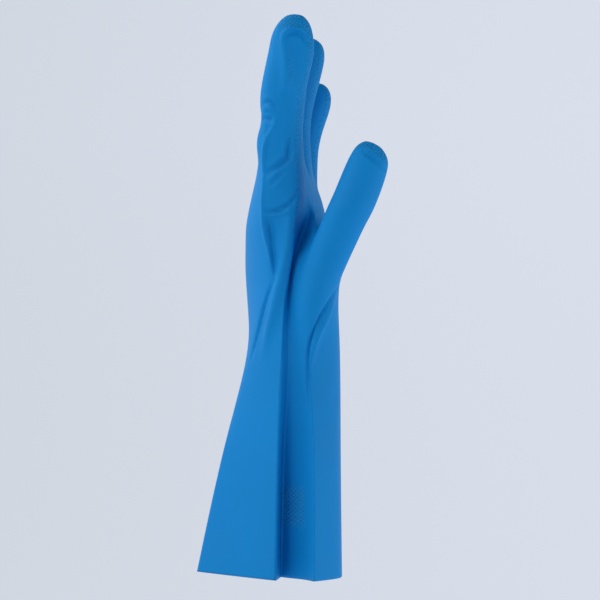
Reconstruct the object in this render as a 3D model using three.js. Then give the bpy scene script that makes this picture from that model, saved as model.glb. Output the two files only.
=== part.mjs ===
// Chemical-resistant gauntlet glove, left hand, one piece of dipped rubber.
// Millimetres. +Z from the hem to the fingertips, +X the palm side, -Y the thumb side.
// The origin is the middle of the arm opening, on the hem.

import * as THREE from 'three';

const wall = 1;
const foldThinning = 0.45;
const gloveBlue = '#2a7fc0';
const gloveRoughness = 0.55;

// Fold lines that run up the cuff and the hand, in order round the glove.
// Each has a row for each section: its height z and its place x, y.
const folds = {
  back: [
    { z: 0, x: -33, y: 10 },
    { z: 80, x: -30, y: 11 },
    { z: 120, x: -27.5, y: 7 },
    { z: 140, x: -27.6, y: 3 },
    { z: 160, x: -29.4, y: 0 },
    { z: 182, x: -31, y: -3 },
    { z: 203, x: -30.3, y: -3 },
    { z: 220, x: -26.6, y: -2 },
    { z: 238, x: -21.7, y: -1 },
  ],
  backRidge: [
    { z: 0, x: -60.1, y: -6 },
    { z: 40, x: -51.5, y: -9.7 },
    { z: 80, x: -42, y: -15.2 },
    { z: 115, x: -32.2, y: -21.5 },
    { z: 140, x: -24.6, y: -28.1 },
    { z: 160, x: -20, y: -35.2 },
    { z: 174, x: -15, y: -40 },
    { z: 188, x: -15.6, y: -42.4 },
    { z: 214, x: -19.9, y: -42.8 },
    { z: 238, x: -19.2, y: -42 },
  ],
  wristFold: [
    { z: 0, x: -11.2, y: -56 },
    { z: 80, x: -9.9, y: -52 },
    { z: 128, x: -8.4, y: -48 },
    { z: 157, x: -7.1, y: -45.8 },
    { z: 182, x: -4.3, y: -45 },
    { z: 203, x: -0.9, y: -44.2 },
    { z: 220, x: 1.2, y: -43.4 },
    { z: 238, x: 1.6, y: -42.6 },
  ],
  valley: [
    { z: 0, x: -9, y: -35.5 },
    { z: 40, x: -8.2, y: -37 },
    { z: 80, x: -7, y: -40 },
    { z: 104, x: -5.4, y: -42.6 },
    { z: 128, x: -4.6, y: -43.6 },
    { z: 145, x: -4.4, y: -42.8 },
    { z: 157, x: -4.4, y: -41 },
    { z: 169, x: -4, y: -39 },
    { z: 180, x: -2.9, y: -37.6 },
    { z: 192, x: -0.8, y: -36 },
    { z: 204, x: 4, y: -32.5 },
    { z: 220, x: 5.6, y: -31.8 },
    { z: 238, x: 4.6, y: -33 },
  ],
  thumbRoot: [
    { z: 0, x: -3.6, y: -42 },
    { z: 80, x: -2, y: -43.6 },
    { z: 104, x: -0.4, y: -45 },
    { z: 128, x: 0, y: -45.6 },
    { z: 145, x: -0.4, y: -45.2 },
    { z: 157, x: -0.8, y: -44.8 },
    { z: 169, x: -1, y: -44.6 },
    { z: 180, x: 0.4, y: -44.4 },
    { z: 192, x: 4, y: -43 },
    { z: 201, x: 10, y: -37.6 },
    { z: 208, x: 11, y: -31 },
    { z: 222, x: 8, y: -25.2 },
    { z: 238, x: 4.4, y: -22.5 },
  ],
  thumbFold: [
    { z: 0, x: 10.3, y: -60 },
    { z: 40, x: 10.3, y: -58.4 },
    { z: 64, x: 10.2, y: -57 },
    { z: 87, x: 9.7, y: -55 },
    { z: 104, x: 8.4, y: -53.4 },
    { z: 122, x: 6.9, y: -52.4 },
    { z: 134, x: 8, y: -52.8 },
    { z: 145, x: 10.8, y: -53.2 },
    { z: 153, x: 14.8, y: -52.8 },
    { z: 162, x: 19.8, y: -50.8 },
    { z: 174, x: 27.6, y: -47 },
    { z: 188, x: 29.4, y: -36 },
    { z: 201, x: 21, y: -24 },
    { z: 214, x: 16.4, y: -12 },
    { z: 238, x: 9.8, y: 11.9 },
  ],
  palmEdge: [
    { z: 0, x: 27.3, y: -41 },
    { z: 80, x: 26, y: -41 },
    { z: 140, x: 25.6, y: -38 },
    { z: 160, x: 25, y: -34 },
    { z: 174, x: 26, y: -26 },
    { z: 190, x: 23.4, y: -16 },
    { z: 204, x: 20, y: -8 },
    { z: 220, x: 17, y: 6 },
    { z: 238, x: 12.8, y: 22.7 },
  ],
  heel: [
    { z: 0, x: 27.4, y: 11 },
    { z: 110, x: 26, y: 12 },
    { z: 160, x: 23, y: 16 },
    { z: 195, x: 19.6, y: 24 },
    { z: 216, x: 16, y: 30 },
    { z: 238, x: 11.2, y: 34.4 },
  ],
  littleSide: [
    { z: 0, x: 3, y: 35 },
    { z: 110, x: -1, y: 35 },
    { z: 160, x: -5, y: 37 },
    { z: 195, x: -6.5, y: 39.6 },
    { z: 238, x: -4, y: 37.4 },
  ],
};

// Quads between each fold line and the next.
const steps = {
  back: 8,
  backRidge: 6,
  wristFold: 3,
  valley: 6,
  thumbRoot: 8,
  thumbFold: 4,
  palmEdge: 6,
  heel: 6,
  littleSide: 8,
};

// How far the wall between a fold line and the next stands out of the straight line.
const bulges = [
  { z: 0, back: 2, backRidge: 0.4, wristFold: 0, valley: 0, thumbRoot: -2.2, thumbFold: 0.8 },
  { z: 80, back: 2, backRidge: 0.6, wristFold: 0, valley: 0, thumbRoot: -1.8, thumbFold: 0.8 },
  { z: 104, back: 2, backRidge: 1, wristFold: 0, valley: 0, thumbRoot: -1.2, thumbFold: 0.9 },
  { z: 122, back: 2, backRidge: 1.5, wristFold: 0, valley: 0, thumbRoot: -0.8, thumbFold: 1 },
  { z: 136, back: 2, backRidge: 1.5, wristFold: -0.5, valley: 0, thumbRoot: -0.2, thumbFold: 1 },
  { z: 149, back: 2, backRidge: 1.3, wristFold: -0.5, valley: 0.3, thumbRoot: 2.6, thumbFold: 1 },
  { z: 160, back: 2.5, backRidge: 1.1, wristFold: -0.4, valley: 0.4, thumbRoot: 6.5, thumbFold: 1 },
  { z: 174, back: 3, backRidge: 0.8, wristFold: 0.4, valley: 0.4, thumbRoot: 9.5, thumbFold: 1 },
  { z: 190, back: 3.5, backRidge: 0.4, wristFold: 0.8, valley: 0.2, thumbRoot: 8, thumbFold: 0.5 },
  { z: 207, back: 4, backRidge: 0.6, wristFold: 1, valley: -1, thumbRoot: 0, thumbFold: 0 },
  { z: 238, back: 3, backRidge: 1.4, wristFold: 1, valley: 0.6, thumbRoot: 0.6, thumbFold: 0.4 },
];
const farBulges = [
  { z: 0, palmEdge: 0, heel: 8, littleSide: 4 },
  { z: 80, palmEdge: 0.5, heel: 8, littleSide: 5 },
  { z: 145, palmEdge: 1, heel: 8, littleSide: 7 },
  { z: 174, palmEdge: 1, heel: 6, littleSide: 7 },
  { z: 213, palmEdge: -0.5, heel: 5, littleSide: 6 },
  { z: 238, palmEdge: 0.6, heel: 3, littleSide: 3 },
];

// Heights of the rows of quads, from the hem to the roots of the fingers.
const rowHeights = [
  0, 6, 24, 42, 60, 78, 95, 110, 123, 135, 146, 156, 165, 174,
  181, 188, 195, 201, 207, 214, 222, 230, 238,
];
const littleDrop = 8;

// How soft each fold line is: 0 keeps its crease, 0.5 rounds it off.
const softness = {
  back: 0.5,
  backRidge: 0.08,
  wristFold: 0.08,
  valley: 0.2,
  thumbRoot: 0.5,
  thumbFold: 0.08,
  palmEdge: 0.5,
  heel: 0.5,
  littleSide: 0.5,
};
const wallSoftness = 0.5;
const roundingPasses = 2;

// The thumb leaves the wall between these rows and columns.
const thumbRows = { from: 13, to: 17 };
const thumbColumns = { from: 23, to: 32 };

// Columns where the roots of the fingers part, at the back and at the palm.
const partings = [
  { back: 4, palm: 23 },
  { back: 0, palm: 28 },
  { back: 50, palm: 34 },
];
const webQuads = 5;

// Fingers: a row for each section, its height, its middle, and its half sizes.
const fingers = {
  index: [
    { z: 245.5, x: -9.5, y: -33.2, thick: 13.4, wide: 10.2 },
    { z: 253.5, x: -10.1, y: -33.3, thick: 13.8, wide: 10.2 },
    { z: 261, x: -9.4, y: -33.4, thick: 13.3, wide: 10.1 },
    { z: 268.7, x: -7.5, y: -33.5, thick: 12.1, wide: 9.9 },
    { z: 275, x: -8.2, y: -33.6, thick: 13.1, wide: 10 },
    { z: 284, x: -7.7, y: -33.8, thick: 13.6, wide: 10.1 },
    { z: 293, x: -6.2, y: -34, thick: 13.6, wide: 10.1 },
    { z: 302, x: -4.1, y: -34.2, thick: 13.8, wide: 10, flat: 0.05 },
    { z: 310, x: -2.5, y: -34.3, thick: 13.6, wide: 9.8, flat: 0.12 },
    { z: 317, x: -2.3, y: -34.3, thick: 12.7, wide: 9.2, flat: 0.16 },
    { z: 323, x: -1.7, y: -34.2, thick: 11, wide: 8.2 },
    { z: 327.5, x: -1.1, y: -34.1, thick: 8.1, wide: 6.2 },
    { z: 330.3, x: -0.9, y: -34, thick: 4.8, wide: 3.6 },
    { z: 331.2, x: -0.8, y: -34, thick: 0, wide: 0 },
  ],
  middle: [
    { z: 245.5, x: -9.3, y: -11.8, thick: 13, wide: 10 },
    { z: 256, x: -9, y: -11.8, thick: 12.8, wide: 9.9 },
    { z: 268, x: -8, y: -11.9, thick: 12.3, wide: 9.8 },
    { z: 280, x: -7, y: -12, thick: 12.4, wide: 9.8 },
    { z: 292, x: -5.6, y: -12, thick: 12.3, wide: 9.7 },
    { z: 303, x: -3.8, y: -12.1, thick: 12, wide: 9.5 },
    { z: 312, x: -2.6, y: -12.1, thick: 11.2, wide: 9 },
    { z: 319.5, x: -1.7, y: -12.1, thick: 9.4, wide: 7.8 },
    { z: 325, x: -1.1, y: -12, thick: 6.6, wide: 5.6 },
    { z: 328.2, x: -0.9, y: -12, thick: 3.4, wide: 3 },
    { z: 329.2, x: -0.9, y: -12, thick: 0, wide: 0 },
  ],
  ring: [
    { z: 243.5, x: -2.6, y: 9.6, thick: 12.9, wide: 9.8 },
    { z: 252, x: -3.4, y: 9.7, thick: 12.7, wide: 9.8 },
    { z: 261, x: -4, y: 9.8, thick: 12.5, wide: 9.7 },
    { z: 271, x: -3.3, y: 9.9, thick: 12.4, wide: 9.6 },
    { z: 281, x: -1.7, y: 10, thick: 12.5, wide: 9.6 },
    { z: 291, x: 0.9, y: 10.1, thick: 12.5, wide: 9.5 },
    { z: 300, x: 3.5, y: 10.3, thick: 12.2, wide: 9.3 },
    { z: 307.5, x: 5.6, y: 10.4, thick: 11.8, wide: 8.9 },
    { z: 313.5, x: 6.9, y: 10.5, thick: 10.6, wide: 7.8 },
    { z: 318, x: 7.4, y: 10.5, thick: 8.4, wide: 6 },
    { z: 320.9, x: 7.6, y: 10.5, thick: 4.4, wide: 3.4 },
    { z: 322, x: 7.6, y: 10.5, thick: 0, wide: 0 },
  ],
  little: [
    { z: 237, x: 3.1, y: 29, thick: 10.9, wide: 8.6 },
    { z: 246, x: 2.7, y: 29.1, thick: 10.8, wide: 8.5 },
    { z: 254, x: 2.8, y: 29.3, thick: 10.8, wide: 8.5 },
    { z: 262.4, x: 4.4, y: 29.5, thick: 10.8, wide: 8.4 },
    { z: 270, x: 6.9, y: 29.8, thick: 10.7, wide: 8.3 },
    { z: 277, x: 9.6, y: 30, thick: 10.5, wide: 8.2 },
    { z: 283.5, x: 11.5, y: 30.2, thick: 10.2, wide: 7.8 },
    { z: 288.8, x: 12.6, y: 30.3, thick: 8.9, wide: 6.8 },
    { z: 292.6, x: 13.2, y: 30.4, thick: 6.8, wide: 5.1 },
    { z: 295.2, x: 13.6, y: 30.4, thick: 3.4, wide: 2.9 },
    { z: 296.2, x: 13.6, y: 30.4, thick: 0, wide: 0 },
  ],
};
const fingerSquareness = 2.25;
const fingerBlend = [0.5, 0.85, 1];
const fingerEvening = 0.6;

// Thumb: its axis leans to the palm side; along is measured up the axis from the foot.
const thumbFoot = { x: 13, y: -50, z: 172.4 };
const thumbLean = 23;
const thumbSplay = 1;
const thumbRootRings = 5;
const thumbSections = [
  { along: 50, shift: 0.4, wide: 12.6, thick: 11.2, flat: 0 },
  { along: 57, shift: 0.3, wide: 12.7, thick: 11.2, flat: 0.03 },
  { along: 64, shift: 0.2, wide: 12.7, thick: 11.1, flat: 0.07 },
  { along: 71, shift: -0.1, wide: 12.5, thick: 10.8, flat: 0.1 },
  { along: 77, shift: -0.2, wide: 12.1, thick: 10.2, flat: 0.06 },
  { along: 81.6, shift: -0.3, wide: 10.9, thick: 8.9, flat: 0 },
  { along: 85, shift: -1, wide: 8.4, thick: 6.6, flat: 0 },
  { along: 87.2, shift: -2.2, wide: 4.8, thick: 3.8, flat: 0 },
  { along: 87.9, shift: -2.6, wide: 0, thick: 0, flat: 0 },
];
const thumbBlend = [0.45, 0.75, 0.92, 1, 1];
const thumbEvening = 0.75;

// Evening out of the wall where the thumb and the fingers grow out of the hand.
const thumbSmoothing = { low: 168, high: 206, edge: 8, passes: 6 };
const webSmoothing = { low: 229, high: 247, edge: 5, passes: 2 };

const foldNames = Object.keys(folds);
const ringSize = foldNames.reduce((sum, name) => sum + steps[name], 0);

// Smooth curve through the rows of a table, one column of it read at a height.
function readTable(rows, key, at, value) {
  if (at <= rows[0][key]) {
    return rows[0][value];
  }
  const last = rows.length - 1;
  if (at >= rows[last][key]) {
    return rows[last][value];
  }
  let i = 0;
  while (rows[i + 1][key] < at) {
    i += 1;
  }
  const slope = (a, b) => (rows[b][value] - rows[a][value]) / (rows[b][key] - rows[a][key]);
  const span = rows[i + 1][key] - rows[i][key];
  const t = (at - rows[i][key]) / span;
  const here = slope(i, i + 1);
  const before = i > 0 ? slope(i - 1, i) : here;
  const after = i + 2 <= last ? slope(i + 1, i + 2) : here;
  const gentle = (p, q) => (p * q <= 0 ? 0 : (2 * p * q) / (p + q));
  const m0 = gentle(before, here) * span;
  const m1 = gentle(here, after) * span;
  const t2 = t * t;
  const t3 = t2 * t;
  return (2 * t3 - 3 * t2 + 1) * rows[i][value] + (t3 - 2 * t2 + t) * m0
    + (3 * t2 - 2 * t3) * rows[i + 1][value] + (t3 - t2) * m1;
}

function blend(from, to, share) {
  return from + (to - from) * share;
}

function smoothStep(low, high, value) {
  return THREE.MathUtils.smoothstep(value, low, high);
}

// One section of the cuff or the hand, as a closed ring of points.
function bodyRing(z) {
  const top = rowHeights[rowHeights.length - 1];
  const crowding = 0.07 * (1 - z / top);
  const points = [];
  const roundings = [];
  foldNames.forEach((name, i) => {
    const next = foldNames[(i + 1) % foldNames.length];
    const start = new THREE.Vector2(readTable(folds[name], 'z', z, 'x'), readTable(folds[name], 'z', z, 'y'));
    const end = new THREE.Vector2(readTable(folds[next], 'z', z, 'x'), readTable(folds[next], 'z', z, 'y'));
    const bulge = readTable(name in farBulges[0] ? farBulges : bulges, 'z', z, name);
    const out = new THREE.Vector2(end.y - start.y, start.x - end.x).normalize();
    for (let s = 0; s < steps[name]; s += 1) {
      const even = s / steps[name];
      const t = even - crowding * Math.sin(2 * Math.PI * even);
      const point = start.clone().lerp(end, t);
      point.addScaledVector(out, bulge * 4 * t * (1 - t));
      points.push(point);
      roundings.push(s === 0 ? softness[name] : wallSoftness);
    }
  });
  let ring = points;
  for (let pass = 0; pass < roundingPasses; pass += 1) {
    ring = ring.map((point, i) => {
      const before = ring[(i + ringSize - 1) % ringSize];
      const after = ring[(i + 1) % ringSize];
      const middle = before.clone().add(after).multiplyScalar(0.5);
      return point.clone().lerp(middle, roundings[i]);
    });
  }
  return ring.map((rounded) => {
    const drop = littleDrop * smoothStep(0, 36, rounded.y) * smoothStep(195, top, z);
    return new THREE.Vector3(rounded.x, rounded.y, z - drop);
  });
}

// The outer wall: points, and faces of three or four corners that face out.
const points = [];
const faces = [];

function addPoint(point) {
  points.push(point);
  return points.length - 1;
}

const rows = rowHeights.map((z) => bodyRing(z).map(addPoint));

function isThumbHole(row, column) {
  return row >= thumbRows.from && row < thumbRows.to
    && column >= thumbColumns.from && column < thumbColumns.to;
}

for (let r = 0; r + 1 < rows.length; r += 1) {
  for (let c = 0; c < ringSize; c += 1) {
    const d = (c + 1) % ringSize;
    if (!isThumbHole(r, c)) {
      faces.push([rows[r][c], rows[r][d], rows[r + 1][d], rows[r + 1][c]]);
    }
  }
}

// Joins a loop of points to the rings above it and closes the last ring at a tip.
function addTube(loop, rings, tip) {
  let lower = loop;
  rings.forEach((ring) => {
    const upper = ring.map(addPoint);
    upper.forEach((corner, j) => {
      const k = (j + 1) % upper.length;
      faces.push([lower[j], lower[k], upper[k], corner]);
    });
    lower = upper;
  });
  const end = addPoint(tip);
  lower.forEach((corner, j) => {
    faces.push([corner, lower[(j + 1) % lower.length], end]);
  });
}

// Angles of a loop round its middle, in order and without a jump back.
function loopAngles(flat) {
  const angles = flat.map((point) => Math.atan2(point.y, point.x));
  for (let j = 1; j < angles.length; j += 1) {
    while (angles[j] < angles[j - 1] - Math.PI) {
      angles[j] += 2 * Math.PI;
    }
    if (angles[j] <= angles[j - 1]) {
      angles[j] = angles[j - 1] + 0.02;
    }
  }
  return angles;
}

function evenAngles(angles) {
  const step = (2 * Math.PI) / angles.length;
  const mean = angles.reduce((sum, angle, j) => sum + angle - j * step, 0) / angles.length;
  return angles.map((angle, j) => mean + j * step);
}

function roundedSquare(angle, squareness) {
  const c = Math.cos(angle);
  const s = Math.sin(angle);
  const reach = (Math.abs(c) ** squareness + Math.abs(s) ** squareness) ** (-1 / squareness);
  return new THREE.Vector2(c * reach, s * reach);
}

// A finger grows out of its loop of the top row.
function addFinger(loop, sections) {
  const first = sections[0];
  const flat = loop.map((id) => new THREE.Vector2(
    (points[id].x - first.x) / first.thick,
    (points[id].y - first.y) / first.wide,
  ));
  const start = loopAngles(flat);
  const even = evenAngles(start);
  const tip = sections[sections.length - 1];
  const rings = sections.slice(0, -1).map((section, i) => {
    const evening = fingerEvening * smoothStep(0, 5, i + 1);
    const share = fingerBlend[Math.min(i, fingerBlend.length - 1)];
    return loop.map((id, j) => {
      const corner = roundedSquare(blend(start[j], even[j], evening), fingerSquareness);
      const x = blend(flat[j].x, corner.x, share);
      const y = blend(flat[j].y, corner.y, share) * (corner.y < 0 ? 1 - (section.flat ?? 0) : 1);
      return new THREE.Vector3(section.x + x * section.thick, section.y + y * section.wide, section.z);
    });
  });
  addTube(loop, rings, new THREE.Vector3(tip.x, tip.y, tip.z));
}

const topRow = rows[rows.length - 1];
const webs = partings.map((parting) => {
  const back = points[topRow[parting.back]];
  const palm = points[topRow[parting.palm]];
  const web = [];
  for (let s = 1; s < webQuads; s += 1) {
    const point = palm.clone().lerp(back, s / webQuads);
    web.push(addPoint(point));
  }
  return web;
});

function topColumns(from, to) {
  const ids = [];
  for (let c = from; c <= to; c += 1) {
    ids.push(topRow[c % ringSize]);
  }
  return ids;
}

const [webOne, webTwo, webThree] = webs;
const backOne = partings[0].back;
const backThree = partings[2].back;
const palmOne = partings[0].palm;
const palmTwo = partings[1].palm;
const palmThree = partings[2].palm;
const reversed = (ids) => [...ids].reverse();

addFinger([...topColumns(backOne, palmOne), ...webOne], fingers.index);
addFinger(
  [...topColumns(0, backOne), ...reversed(webOne), ...topColumns(palmOne, palmTwo), ...webTwo],
  fingers.middle,
);
addFinger(
  [...topColumns(backThree, ringSize), ...reversed(webTwo), ...topColumns(palmTwo, palmThree), ...webThree],
  fingers.ring,
);
addFinger([...topColumns(palmThree, backThree), ...reversed(webThree)], fingers.little);

// The thumb grows out of the loop round the gap left in the wall.
function addThumb() {
  const loop = [];
  for (let c = thumbColumns.from; c < thumbColumns.to; c += 1) {
    loop.push(rows[thumbRows.from][c]);
  }
  for (let r = thumbRows.from; r < thumbRows.to; r += 1) {
    loop.push(rows[r][thumbColumns.to]);
  }
  for (let c = thumbColumns.to; c > thumbColumns.from; c -= 1) {
    loop.push(rows[thumbRows.to][c]);
  }
  for (let r = thumbRows.to; r > thumbRows.from; r -= 1) {
    loop.push(rows[r][thumbColumns.from]);
  }
  const lean = THREE.MathUtils.degToRad(thumbLean);
  const splay = THREE.MathUtils.degToRad(thumbSplay);
  const foot = new THREE.Vector3(thumbFoot.x, thumbFoot.y, thumbFoot.z);
  const up = new THREE.Vector3(Math.sin(lean), -Math.sin(splay), Math.cos(lean)).normalize();
  const across = new THREE.Vector3(Math.cos(lean), 0, -Math.sin(lean)).normalize();
  const deep = up.clone().cross(across).normalize();
  const local = loop.map((id) => {
    const arm = points[id].clone().sub(foot);
    return { along: arm.dot(up), flat: new THREE.Vector2(arm.dot(across), arm.dot(deep)) };
  });
  const place = (along, x, y) => foot.clone()
    .addScaledVector(up, along)
    .addScaledVector(across, x)
    .addScaledVector(deep, y);
  const first = thumbSections[0];
  const start = loopAngles(local.map((entry) => entry.flat));
  const even = evenAngles(start);
  const rings = [];
  for (let i = 0; i < thumbRootRings; i += 1) {
    const rise = (i + 1) / (thumbRootRings + 1);
    const share = thumbBlend[i];
    const evening = thumbEvening * smoothStep(0, thumbRootRings + 3, i + 1);
    rings.push(local.map((entry, j) => {
      const corner = roundedSquare(blend(start[j], even[j], evening), 2);
      const x = blend(entry.flat.x, corner.x * first.wide, share);
      const y = blend(entry.flat.y, corner.y * first.thick, share);
      return place(blend(entry.along, first.along, rise), x, y);
    }));
  }
  thumbSections.slice(0, -1).forEach((section, i) => {
    const evening = thumbEvening * smoothStep(0, thumbRootRings + 3, thumbRootRings + i + 1);
    rings.push(local.map((entry, j) => {
      const corner = roundedSquare(blend(start[j], even[j], evening), 2);
      const y = corner.y * (corner.y < 0 ? 1 - section.flat : 1);
      return place(section.along, section.shift + corner.x * section.wide, y * section.thick);
    }));
  });
  const tip = thumbSections[thumbSections.length - 1];
  addTube(loop, rings, place(tip.along, tip.shift, 0));
}

addThumb();

// Evens out the wall in a band of heights, by moving each point toward its neighbours.
const neighbours = points.map(() => new Set());
faces.forEach((face) => {
  face.forEach((corner, j) => {
    const next = face[(j + 1) % face.length];
    neighbours[corner].add(next);
    neighbours[next].add(corner);
  });
});

function smoothBand({ low, high, edge, passes }, reach) {
  for (let pass = 0; pass < passes; pass += 1) {
    const moved = points.map((point, i) => {
      const share = 0.5 * reach(point) * smoothStep(low - edge, low, point.z)
        * (1 - smoothStep(high, high + edge, point.z));
      if (share <= 0) {
        return point.clone();
      }
      const middle = new THREE.Vector3();
      neighbours[i].forEach((id) => middle.add(points[id]));
      middle.divideScalar(neighbours[i].size);
      return point.clone().lerp(middle, share);
    });
    moved.forEach((point, i) => points[i].copy(point));
  }
}

smoothBand(thumbSmoothing, (point) => smoothStep(-2, 7, point.x) * (1 - smoothStep(-22, -4, point.y)));
smoothBand(webSmoothing, () => 1);

// Triangles: each face of four corners is parted along its shorter diagonal.
const triangles = [];
faces.forEach((face) => {
  if (face.length === 3) {
    triangles.push(face);
    return;
  }
  const [a, b, c, d] = face;
  if (points[a].distanceTo(points[c]) <= points[b].distanceTo(points[d])) {
    triangles.push([a, b, c], [a, c, d]);
  } else {
    triangles.push([a, b, d], [b, c, d]);
  }
});

// The inner wall lies one wall thickness inside the outer one, and deeper inside a fold.
const normals = points.map(() => new THREE.Vector3());
const facing = points.map(() => []);
triangles.forEach((corners) => {
  const [a, b, c] = corners.map((id) => points[id]);
  const out = b.clone().sub(a).cross(c.clone().sub(a)).normalize();
  corners.forEach((id, j) => {
    const left = points[corners[(j + 2) % 3]].clone().sub(points[id]);
    const right = points[corners[(j + 1) % 3]].clone().sub(points[id]);
    normals[id].addScaledVector(out, left.angleTo(right));
    facing[id].push(out);
  });
});
rows[0].forEach((id) => normals[id].setZ(0));
normals.forEach((normal) => normal.normalize());
const inner = points.map((point, i) => {
  const turns = facing[i].map((face) => face.dot(normals[i]));
  const depth = wall / Math.max(Math.min(...turns), foldThinning);
  return point.clone().addScaledVector(normals[i], -depth);
});

const count = points.length;
const positions = [];
[...points, ...inner].forEach((point) => positions.push(point.x, point.y, point.z));
const indices = [];
triangles.forEach(([a, b, c]) => {
  indices.push(a, b, c);
  indices.push(count + a, count + c, count + b);
});
rows[0].forEach((id, c) => {
  const next = rows[0][(c + 1) % ringSize];
  indices.push(id, count + id, count + next);
  indices.push(id, count + next, next);
});

const geometry = new THREE.BufferGeometry();
geometry.setAttribute('position', new THREE.Float32BufferAttribute(positions, 3));
geometry.setIndex(indices);
geometry.computeVertexNormals();

const rubber = new THREE.MeshStandardMaterial({ color: gloveBlue, roughness: gloveRoughness, metalness: 0 });
rubber.name = 'nitrile_blue';
const shell = new THREE.Mesh(geometry, rubber);
shell.name = 'glove_shell';

const glove = new THREE.Group();
glove.name = 'chemical_resistant_glove';
glove.add(shell);

export default glove;
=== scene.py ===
import math
import bmesh
import bpy
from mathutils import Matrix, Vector
from mathutils.bvhtree import BVHTree
from mathutils.kdtree import KDTree


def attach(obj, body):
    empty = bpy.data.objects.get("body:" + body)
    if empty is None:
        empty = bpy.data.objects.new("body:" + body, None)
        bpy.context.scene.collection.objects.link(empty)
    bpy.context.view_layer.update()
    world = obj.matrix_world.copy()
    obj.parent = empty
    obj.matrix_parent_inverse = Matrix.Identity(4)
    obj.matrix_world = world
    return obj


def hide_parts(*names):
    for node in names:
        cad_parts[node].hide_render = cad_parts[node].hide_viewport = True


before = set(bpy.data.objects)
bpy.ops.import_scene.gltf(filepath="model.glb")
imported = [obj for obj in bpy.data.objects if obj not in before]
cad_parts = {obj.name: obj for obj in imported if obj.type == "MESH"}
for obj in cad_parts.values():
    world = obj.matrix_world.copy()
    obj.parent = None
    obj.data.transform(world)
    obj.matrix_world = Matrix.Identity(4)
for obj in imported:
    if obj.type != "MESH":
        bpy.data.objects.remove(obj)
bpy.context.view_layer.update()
print("frame loaded", flush=True)

scene = bpy.context.scene
scene.view_settings.view_transform = "Standard"


def smoothStep(low, high, value):
    t = min(max((value - low) / (high - low), 0), 1)
    return t * t * (3 - 2 * t)


# Shader graphs

class Signal:
    def __init__(self, graph, socket):
        self.graph = graph
        self.socket = socket

    def math(self, operation, other):
        return self.graph.add("ShaderNodeMath", {"operation": operation}, {0: self, 1: other})

    def __add__(self, other):
        return self.math("ADD", other)

    def __radd__(self, other):
        return self.math("ADD", other)

    def __sub__(self, other):
        return self.math("SUBTRACT", other)

    def __rsub__(self, other):
        return (self * -1) + other

    def __mul__(self, other):
        return self.math("MULTIPLY", other)

    def __rmul__(self, other):
        return self.math("MULTIPLY", other)

    def __truediv__(self, other):
        return self.math("DIVIDE", other)

    def wave(self):
        return self.math("PINGPONG", 0.5)

    def least(self, other):
        return self.math("MINIMUM", other)

    def ramp(self, low, high, start=0, end=1):
        values = {"Value": self, "From Min": low, "From Max": high, "To Min": start, "To Max": end}
        return self.graph.add("ShaderNodeMapRange", {"interpolation_type": "SMOOTHSTEP"}, values)


class Graph:
    def __init__(self, material):
        material.use_nodes = True
        self.tree = material.node_tree
        self.tree.nodes.clear()

    def add(self, kind, settings=None, values=None, output=0):
        node = self.tree.nodes.new(kind)
        for name, value in (settings or {}).items():
            setattr(node, name, value)
        for key, value in (values or {}).items():
            if isinstance(value, Signal):
                self.tree.links.new(value.socket, node.inputs[key])
            else:
                node.inputs[key].default_value = value
        return Signal(self, node.outputs[output]) if node.outputs else node

    def split(self, vector):
        first = self.add("ShaderNodeSeparateXYZ", values={"Vector": vector})
        return [Signal(self, socket) for socket in first.socket.node.outputs]

    def blend(self, amount, first, second):
        values = {0: amount, 6: first, 7: second}
        return self.add("ShaderNodeMix", {"data_type": "RGBA"}, values, output=2)


# Material of the glove: satin rubber, with diamonds where the attributes grip and patch ask for them

rubber = {
    "color": (0.0008, 0.234, 0.622, 1),
    "paleColor": (0.001, 0.244, 0.644, 1),
    "lineColor": (0.02, 0.32, 0.74, 1),    # of the lines between the diamonds
    "gripLines": 0.25,                     # how far the lines take that color
    "patchLines": 0.7,
    "roughness": 0.62,
    "roughnessSpread": 0.03,
    "specular": 0.15,
    "gripPitch": 2.5,                      # mm along the side of a diamond
    "gripHeight": 0.3,                     # mm
    "patchHeight": 0.4,
    "grainHeight": 0.02,
    "broadScale": 22.0,                    # spots to a metre of the tone
    "grainScale": 900.0,
}


def rubberMaterial():
    material = bpy.data.materials.new("nitrile_blue")
    graph = Graph(material)
    place = graph.add("ShaderNodeTexCoord", output=3)
    broad = {"Vector": place, "Scale": rubber["broadScale"], "Detail": 3.0}
    broad = graph.add("ShaderNodeTexNoise", values=broad)
    grain = {"Vector": place, "Scale": rubber["grainScale"], "Detail": 2.0}
    grain = graph.add("ShaderNodeTexNoise", values=grain)
    sheet = graph.add("ShaderNodeUVMap", {"uv_map": "sheet"})
    across, up = graph.split(sheet)[:2]
    rising = ((across + up) / rubber["gripPitch"]).wave()
    falling = ((across - up) / rubber["gripPitch"]).wave()
    diamond = rising.least(falling).ramp(0.04, 0.3)
    grip = graph.add("ShaderNodeAttribute", {"attribute_name": "grip"}, output=2)
    patch = graph.add("ShaderNodeAttribute", {"attribute_name": "patch"}, output=2)
    height = diamond * (grip * rubber["gripHeight"] + patch * rubber["patchHeight"])
    height = (height + grain * rubber["grainHeight"]) * 0.001
    bump = graph.add("ShaderNodeBump", values={"Height": height, "Distance": 1.0, "Strength": 1.0})
    color = graph.blend(broad.ramp(0.35, 0.65), rubber["color"], rubber["paleColor"])
    lines = (1 - diamond) * (grip * rubber["gripLines"] + patch * rubber["patchLines"])
    color = graph.blend(lines, color, rubber["lineColor"])
    least = rubber["roughness"] - rubber["roughnessSpread"]
    most = rubber["roughness"] + rubber["roughnessSpread"]
    values = {"Base Color": color, "Roughness": broad.ramp(0.3, 0.7, least, most), "Normal": bump}
    values["Specular IOR Level"] = rubber["specular"]
    surface = graph.add("ShaderNodeBsdfPrincipled", values=values)
    graph.add("ShaderNodeOutputMaterial", values={"Surface": surface})
    return material


# The glove: the solid's outer wall smoothed and pressed with fine creases, and a lining inside it

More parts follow.
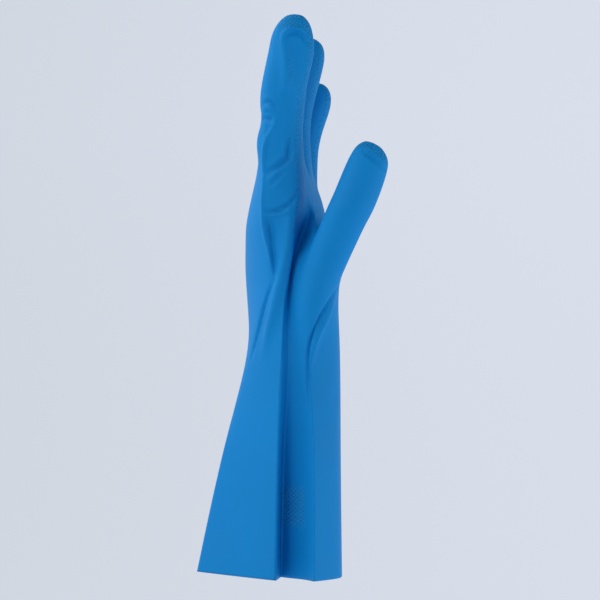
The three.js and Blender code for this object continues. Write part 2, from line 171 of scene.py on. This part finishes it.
glove = {
    "thickness": 0.8,          # mm of rubber seen at the hem
    "wallLevels": 2,           # of smoothing
    "liningLevels": 1,
    "foldAngle": 26,           # degrees from which an edge counts as a fold
    "foldSharpness": 0.9,
    "foldTop": 0.2,            # metres up to which the cuff's folds stay sharp
    "fineArea": {"lowest": 124, "nearest": -14, "facing": 0.3},    # mm, mm and the normal's y
    "hollowsNearest": -20,     # mm: hollows act on what lies nearer than this
}

# Lines pressed into or raised out of the near side, as x and z in mm seen from the front.
# Width is half the width of the line, depth goes in, lip is the swelling beside it.
creases = {
    "tipArch": {"width": 1.2, "depth": -1.5, "lip": 0, "path": [
        (-8.2, 314.6), (-7.2, 318.6), (-5.2, 320.8), (-2.6, 321.8), (0.6, 321.8),
        (3.3, 321.1), (5.2, 319.4), (6.4, 316.6)]},
    "underArch": {"width": 1.3, "depth": 1.5, "lip": 0, "path": [
        (-5.4, 317.6), (-3.4, 319.1), (0.4, 319.2), (3, 318.2), (4.6, 316.2), (5.4, 313.6)]},
    "fingerRidge": {"width": 3, "depth": -1.6, "lip": 0, "path": [
        (-7.9, 318), (-6.8, 309), (-5.6, 299), (-5.8, 289), (-8.8, 281)]},
    "knuckleDark": {"width": 1, "depth": 1.3, "lip": 0.4, "path": [
        (-19.3, 278.1), (-15.8, 279), (-13.4, 277.8), (-10.8, 276)]},
    "knuckleLight": {"width": 1.1, "depth": -0.9, "lip": 0, "path": [
        (-19.9, 274.3), (-16.4, 274.7), (-11.7, 274)]},
    "notch": {"width": 1.2, "depth": 1.5, "lip": 0.4, "path": [
        (-21.1, 268.6), (-17.6, 268.8), (-13.5, 268)]},
    "dorsalRidge": {"width": 1.6, "depth": -1.2, "lip": 0, "path": [
        (-12.2, 269.3), (-13.7, 263.4), (-16.7, 258.2), (-18.7, 250.6), (-19, 239.5)]},
    "slantHigh": {"width": 1.5, "depth": 1.6, "lip": 0.5, "path": [
        (-2.9, 258.6), (-4.3, 246.2), (-9.5, 241.5), (-17.1, 237.3), (-18.3, 236.8)]},
    "slantLow": {"width": 1.2, "depth": 0.8, "lip": 0.4, "path": [
        (-5.9, 238.6), (-9.9, 235.2), (-14.8, 230.2)]},
    "backLine": {"width": 1.3, "depth": -1.1, "lip": 0, "path": [
        (-18.3, 262), (-18.5, 250), (-18.6, 240), (-19, 230), (-19.6, 222.4), (-19.8, 215.9),
        (-19.3, 206.6), (-17.7, 197.8), (-15.8, 190.8), (-14.2, 181.5), (-13.1, 173.3)]},
    "backGroove": {"width": 2.4, "depth": 2.4, "lip": 0, "path": [
        (-15.4, 211), (-14.8, 204), (-14.2, 197.8), (-13.4, 189.1), (-12.6, 181.5), (-12, 175.5)]},
    "crossCrease": {"width": 1.2, "depth": 1.7, "lip": 0.2, "path": [
        (-19.5, 215.4), (-16.3, 214.8), (-11.5, 214.8), (-7, 216.8), (-2.9, 219.7), (1.8, 225.5)]},
    "crossRidge": {"width": 1.2, "depth": -1, "lip": 0, "path": [
        (-18.3, 212.8), (-14, 212.6), (-9, 212.9), (-5, 213.6)]},
    "wristCrest": {"width": 3.6, "depth": -2.6, "lip": 0, "path": [
        (-3.6, 219), (-3.6, 210), (-4, 204), (-4.6, 197.8), (-5.6, 190.4), (-7.4, 181.5),
        (-9.2, 173), (-11, 165), (-12.8, 157), (-14.9, 149), (-17, 141), (-19, 133.6)]},
    "crestEdge": {"width": 1.4, "depth": 1.7, "lip": 0, "path": [
        (-12.9, 173.2), (-16.4, 166.4), (-19.4, 157), (-22.2, 145.3), (-25.2, 133.6),
        (-26.6, 128)]},
    "thumbLine": {"width": 1.3, "depth": 2.3, "lip": 0, "path": [
        (24.6, 170.5), (19.2, 161.8), (14.7, 154.1), (11.5, 147.6), (8.6, 140.5), (7, 133.7),
        (6.4, 125), (6.4, 114), (7, 100)]},
    "thumbFacet": {"width": 2, "depth": -2.1, "lip": 0, "path": [
        (22.4, 163.4), (19.8, 157), (16.6, 150), (13.1, 143), (10.6, 135.4), (9, 126.7)]},
    "thumbDent": {"width": 1.3, "depth": 1, "lip": 0.5, "path": [
        (36.5, 247.8), (39.4, 248.6), (42.9, 246.6), (46.9, 242.8), (50.9, 238.3)]},
}

# Shallow hollows of the near side: centre x and z, half sizes across and up and depth in mm,
# and the tilt in degrees.
hollows = {
    "tipPanel": {"at": (0.3, 304), "half": (6, 19), "tilt": 4, "depth": 1.2},
    "underThumb": {"at": (4.6, 206), "half": (6, 19), "tilt": -10, "depth": 5.5},
    "backTriangle": {"at": (-12.8, 204), "half": (5, 11), "tilt": 10, "depth": 1.2},
    "cuffDent": {"at": (22.6, 106), "half": (3, 9), "tilt": 0, "depth": 1.2},
    "knuckle": {"at": (-16, 262), "half": (4, 9), "tilt": -15, "depth": 0.7},
}

# Where the diamonds begin and where they are whole, in mm, or as a part of the normal for facing.
gripAreas = {
    "palm": {"facing": (0.45, 0.6), "up": (196, 204), "back": (-60, -40)},
    "nearTip": {"up": (320.5, 322.5), "nearest": -20},
    "farTips": {"facing": (0.5, 0.8), "up": (270, 280)},
    "thumb": {"from": 20},
    "thumbTip": {"up": (249, 251), "slopeFrom": 39.4, "slope": 0.75, "nearest": -36},
    "thumbPalm": {"facing": (0.3, 0.6), "up": (205, 215), "nearest": -54},
    "patch": {"facing": (0.1, 0.3), "up": (30, 33), "upEnd": (52, 55),
              "across": (-9.5, -8), "acrossEnd": (4, 6)},
}


def outerWall(bm):
    bmesh.ops.remove_doubles(bm, verts=bm.verts[:], dist=0.00001)
    hem = [f for f in bm.faces if f.normal.z < -0.9 and f.calc_center_median().z < 0.0002]
    bmesh.ops.delete(bm, geom=hem, context="FACES")
    top = max(bm.verts, key=lambda v: v.co.z)
    kept = {top}
    edge = [top]
    while edge:
        for e in edge.pop().link_edges:
            for v in e.verts:
                if v not in kept:
                    kept.add(v)
                    edge.append(v)
    bmesh.ops.delete(bm, geom=[v for v in bm.verts if v not in kept], context="VERTS")
    limits = {"angle_face_threshold": 0.9, "angle_shape_threshold": 1.4}
    bmesh.ops.join_triangles(bm, faces=bm.faces[:], **limits)


def creaseFolds(bm):
    layers = bm.edges.layers.float
    layer = layers.get("crease_edge") or layers.new("crease_edge")
    least = math.radians(glove["foldAngle"])
    for e in bm.edges:
        if len(e.link_faces) == 2 and max(v.co.z for v in e.verts) < glove["foldTop"]:
            turn = e.calc_face_angle(0)
            e[layer] = glove["foldSharpness"] * smoothStep(least * 0.8, least * 1.5, turn)


def smoothed(mesh, levels):
    holder = bpy.data.objects.new("holder", mesh)
    scene.collection.objects.link(holder)
    modifier = holder.modifiers.new("smooth", "SUBSURF")
    modifier.levels = levels
    modifier.render_levels = levels
    bpy.context.view_layer.update()
    shape = holder.evaluated_get(bpy.context.evaluated_depsgraph_get())
    result = bpy.data.meshes.new_from_object(shape)
    bpy.data.objects.remove(holder)
    return result


def refineNearSide(bm):
    area = glove["fineArea"]
    edges = set()
    for f in bm.faces:
        center = f.calc_center_median() * 1000
        near = f.normal.y < area["facing"] and center.y < area["nearest"]
        if near and center.z > area["lowest"]:
            edges.update(f.edges)
    bmesh.ops.subdivide_edges(bm, edges=list(edges), cuts=1, use_grid_fill=True)


def onSurface(tree, x, z):
    return tree.ray_cast(Vector((x, -200, z)) * 0.001, Vector((0, 1, 0)))[0]


def laidLine(tree, path):
    # points of the line on the surface, each with its share of the way along
    corners = [Vector(p) for p in path]
    points = []
    for a, b in zip(corners, corners[1:]):
        count = max(2, math.ceil((b - a).length / 0.5))
        points += [a.lerp(b, i / count) for i in range(count)]
    points.append(corners[-1])
    placed = [onSurface(tree, *p) for p in points]
    return [(i / (len(points) - 1), p) for i, p in enumerate(placed) if p is not None]


def creaseMoves(bm, tree, crease):
    kept = laidLine(tree, crease["path"])
    line = KDTree(len(kept))
    for index, (along, p) in enumerate(kept):
        line.insert(p, index)
    line.balance()
    reach = crease["width"] * 4
    low = Vector([min(p[i] for along, p in kept) for i in range(3)]) * 1000
    high = Vector([max(p[i] for along, p in kept) for i in range(3)]) * 1000
    moves = {}
    for v in bm.verts:
        co = v.co * 1000
        if any(co[i] < low[i] - reach or co[i] > high[i] + reach for i in range(3)):
            continue
        index, distance = line.find(v.co)[1:]
        distance *= 1000
        if distance > reach:
            continue
        along = kept[index][0]
        fade = math.sin(math.pi * min(max(along, 0.02), 0.98)) ** 0.5
        across = distance / crease["width"]
        beside = math.exp(-((across - 2.2) ** 2))
        move = crease["lip"] * beside - crease["depth"] * math.exp(-across * across)
        moves[v] = move * fade
    return moves


def hollowMoves(bm, hollow):
    turn = math.radians(hollow["tilt"])
    moves = {}
    for v in bm.verts:
        if v.normal.y > 0 or v.co.y > glove["hollowsNearest"] * 0.001:
            continue
        x = v.co.x * 1000 - hollow["at"][0]
        z = v.co.z * 1000 - hollow["at"][1]
        across = (x * math.cos(turn) + z * math.sin(turn)) / hollow["half"][0]
        up = (z * math.cos(turn) - x * math.sin(turn)) / hollow["half"][1]
        apart = across * across + up * up
        if apart < 1:
            moves[v] = hollow["depth"] * (1 - apart) ** 1.5
    return moves


def pressCreases(bm):
    bm.normal_update()
    tree = BVHTree.FromBMesh(bm)
    raises = {}
    for crease in creases.values():
        for v, move in creaseMoves(bm, tree, crease).items():
            raises[v] = raises.get(v, 0) + move
    sinks = {}
    for hollow in hollows.values():
        for v, move in hollowMoves(bm, hollow).items():
            sinks[v] = sinks.get(v, 0) + move
    for v, move in raises.items():
        v.co += v.normal * move * 0.001
    for v, move in sinks.items():
        v.co.y += move * 0.001


def palmGrip(v, x, y, z):
    area = gripAreas["palm"]
    facing = smoothStep(*area["facing"], v.normal.x)
    return facing * smoothStep(*area["up"], z) * smoothStep(*area["back"], y)


def tipGrip(v, x, y, z):
    near = gripAreas["nearTip"]
    far = gripAreas["farTips"]
    if y < near["nearest"]:
        return smoothStep(*near["up"], z)
    return smoothStep(*far["facing"], v.normal.z) * smoothStep(*far["up"], z)


def thumbGrip(v, x, y, z):
    tip = gripAreas["thumbTip"]
    palm = gripAreas["thumbPalm"]
    amount = 0
    if x > gripAreas["thumb"]["from"]:
        if y < tip["nearest"]:
            amount = smoothStep(*tip["up"], z + tip["slope"] * max(x - tip["slopeFrom"], 0))
        if y > palm["nearest"]:
            facing = smoothStep(*palm["facing"], v.normal.y)
            amount = max(amount, facing * smoothStep(*palm["up"], z))
    return amount


def cuffPatch(v, x, y, z):
    area = gripAreas["patch"]
    up = smoothStep(*area["up"], z) * (1 - smoothStep(*area["upEnd"], z))
    across = smoothStep(*area["across"], x) * (1 - smoothStep(*area["acrossEnd"], x))
    return up * across * smoothStep(*area["facing"], -v.normal.y)


def markGrip(bm):
    grip = bm.verts.layers.float.new("grip")
    patch = bm.verts.layers.float.new("patch")
    sheet = bm.loops.layers.uv.new("sheet")
    for v in bm.verts:
        place = v.co * 1000
        v[grip] = max(palmGrip(v, *place), tipGrip(v, *place), thumbGrip(v, *place))
        v[patch] = cuffPatch(v, *place)
    for f in bm.faces:
        flat = abs(f.normal.x) > abs(f.normal.y)
        for loop in f.loops:
            co = loop.vert.co * 1000
            loop[sheet].uv = (co.y, co.z) if flat else (co.x, co.z)


def liningMesh(coarse):
    bm = bmesh.new()
    bm.from_mesh(smoothed(coarse, glove["liningLevels"]))
    pressCreases(bm)
    bm.normal_update()
    for v in bm.verts:
        lift = v.normal * glove["thickness"] * 0.001
        if v.is_boundary:
            lift.z = 0
        v.co -= lift
    bmesh.ops.reverse_faces(bm, faces=bm.faces[:])
    mesh = bpy.data.meshes.new("lining")
    bm.to_mesh(mesh)
    bm.free()
    return mesh


def buildGlove():
    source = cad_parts["glove_shell"]
    bm = bmesh.new()
    bm.from_mesh(source.data)
    outerWall(bm)
    creaseFolds(bm)
    coarse = bpy.data.meshes.new("coarse")
    bm.to_mesh(coarse)
    bm.free()
    print("outer wall", len(coarse.polygons), "faces", flush=True)
    lining = liningMesh(coarse)
    bm = bmesh.new()
    bm.from_mesh(smoothed(coarse, glove["wallLevels"]))
    refineNearSide(bm)
    pressCreases(bm)
    print("near side pressed", len(bm.faces), "faces", flush=True)
    bm.from_mesh(lining)
    rims = [e for e in bm.edges if e.is_boundary]
    bmesh.ops.bridge_loops(bm, edges=rims)
    bmesh.ops.recalc_face_normals(bm, faces=bm.faces[:])
    bm.normal_update()
    markGrip(bm)
    mesh = bpy.data.meshes.new("glove")
    bm.to_mesh(mesh)
    bm.free()
    mesh.shade_smooth()
    mesh.materials.append(rubberMaterial())
    piece = bpy.data.objects.new("glove", mesh)
    scene.collection.objects.link(piece)
    return piece


gloveObject = buildGlove()
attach(gloveObject, "root")
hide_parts("glove_shell")
print("glove", len(gloveObject.data.polygons), "faces", flush=True)

# The room: a floor that sweeps up into a wall behind the glove, in metres. Its paper glows with
# painted light, darker at the left and lighter at the right.

room = {
    "floorHeight": -0.32,
    "floorFront": -2.4,
    "wallDistance": 1.6,
    "wallHeight": 2.2,                     # above the sweep
    "halfWidth": 3,
    "sweepRadius": 0.7,
    "sweepSteps": 12,
    "paperColor": (0.2, 0.21, 0.23, 1),
    # painted light: the glow the paper gives off by itself, at the left and at the right
    "leftGlow": (0.545, 0.585, 0.645, 1),
    "rightGlow": (0.605, 0.645, 0.725, 1),
    "glowStrength": 0.95,
    "roughness": 0.9,
}


def roomMaterial():
    material = bpy.data.materials.new("paper_with_painted_glow")
    graph = Graph(material)
    place = graph.add("ShaderNodeTexCoord", output=3)
    across = graph.split(place)[0]
    # painted light: the paper glows by itself, darker at the left and lighter at the right
    glow = graph.blend(across.ramp(-0.5, 0.5), room["leftGlow"], room["rightGlow"])
    values = {"Base Color": room["paperColor"], "Roughness": room["roughness"]}
    values.update({"Emission Color": glow, "Emission Strength": room["glowStrength"]})
    surface = graph.add("ShaderNodeBsdfPrincipled", values=values)
    graph.add("ShaderNodeOutputMaterial", values={"Surface": surface})
    return material


def buildRoom():
    left = -room["halfWidth"]
    radius = room["sweepRadius"]
    bm = bmesh.new()
    front = bm.verts.new((left, room["floorFront"], room["floorHeight"]))
    bend = bm.verts.new((left, room["wallDistance"] - radius, room["floorHeight"]))
    bm.edges.new((front, bend))
    sweep = {"cent": bend.co + Vector((0, 0, radius)), "axis": (1, 0, 0), "angle": math.pi / 2}
    bmesh.ops.spin(bm, geom=[bend], steps=room["sweepSteps"], **sweep)
    top = max(bm.verts, key=lambda v: v.co.y)
    grown = bmesh.ops.extrude_vert_indiv(bm, verts=[top])
    grown["verts"][0].co.z += room["wallHeight"]
    sides = bmesh.ops.extrude_edge_only(bm, edges=bm.edges[:])
    moved = [v for v in sides["geom"] if isinstance(v, bmesh.types.BMVert)]
    bmesh.ops.translate(bm, verts=moved, vec=(room["halfWidth"] * 2, 0, 0))
    bmesh.ops.recalc_face_normals(bm, faces=bm.faces[:])
    mesh = bpy.data.meshes.new("room")
    bm.to_mesh(mesh)
    bm.free()
    mesh.shade_smooth()
    mesh.materials.append(roomMaterial())
    piece = bpy.data.objects.new("room", mesh)
    scene.collection.objects.link(piece)
    return piece


buildRoom()

# Light: large soft boxes, the strongest at the left and above, all aimed at the middle of the glove

lights = {
    "leftBack": {"at": (-1.0, 0.9, 0.25), "power": 1.2},
    "left": {"at": (-1.3, -0.1, 0.25), "power": 1.6},
    "leftAbove": {"at": (-0.9, 0.1, 1.0), "power": 6.8},
    "leftFrontAbove": {"at": (-0.8, -0.8, 1.0), "power": 7.6},
    "front": {"at": (0, -2.1, 0.35), "power": 4.3},
    "frontBelow": {"at": (0, -1.3, -0.8), "power": 3.7},
    "rightFront": {"at": (1.1, -0.7, 0.25), "power": 3},
    "right": {"at": (1.3, -0.1, 0.25), "power": 5},
    "rightBelow": {"at": (0.9, -0.4, -0.6), "power": 1.1},
}
lightBox = {"width": 0.9, "height": 1.1, "aim": (0, 0, 0.17)}
worldLight = {"color": (0.62, 0.68, 0.80, 1), "strength": 0.03}


def addLight(name, at, power):
    data = bpy.data.lights.new(name, "AREA")
    data.shape = "RECTANGLE"
    data.size = lightBox["width"]
    data.size_y = lightBox["height"]
    data.energy = power
    lamp = bpy.data.objects.new(name, data)
    lamp.location = at
    way = Vector(lightBox["aim"]) - lamp.location
    lamp.rotation_euler = way.to_track_quat("-Z", "Y").to_euler()
    scene.collection.objects.link(lamp)


for name, values in lights.items():
    addLight(name, **values)

world = bpy.data.worlds.new("room_light")
scene.world = world
worldGraph = Graph(world)
values = {"Color": worldLight["color"], "Strength": worldLight["strength"]}
background = worldGraph.add("ShaderNodeBackground", values=values)
worldGraph.add("ShaderNodeOutputWorld", values={"Surface": background})
print("room and lights", flush=True)

# Camera: level, in front of the glove

view = {"at": (0.0024, -1.5, 0.1628), "lens": 149.5, "sensor": 36, "farthest": 20}

cameraData = bpy.data.cameras.new("camera")
cameraData.sensor_width = view["sensor"]
cameraData.lens = view["lens"]
cameraData.clip_end = view["farthest"]
camera = bpy.data.objects.new("camera", cameraData)
camera.location = view["at"]
camera.rotation_euler = (math.pi / 2, 0, 0)
scene.collection.objects.link(camera)
scene.camera = camera
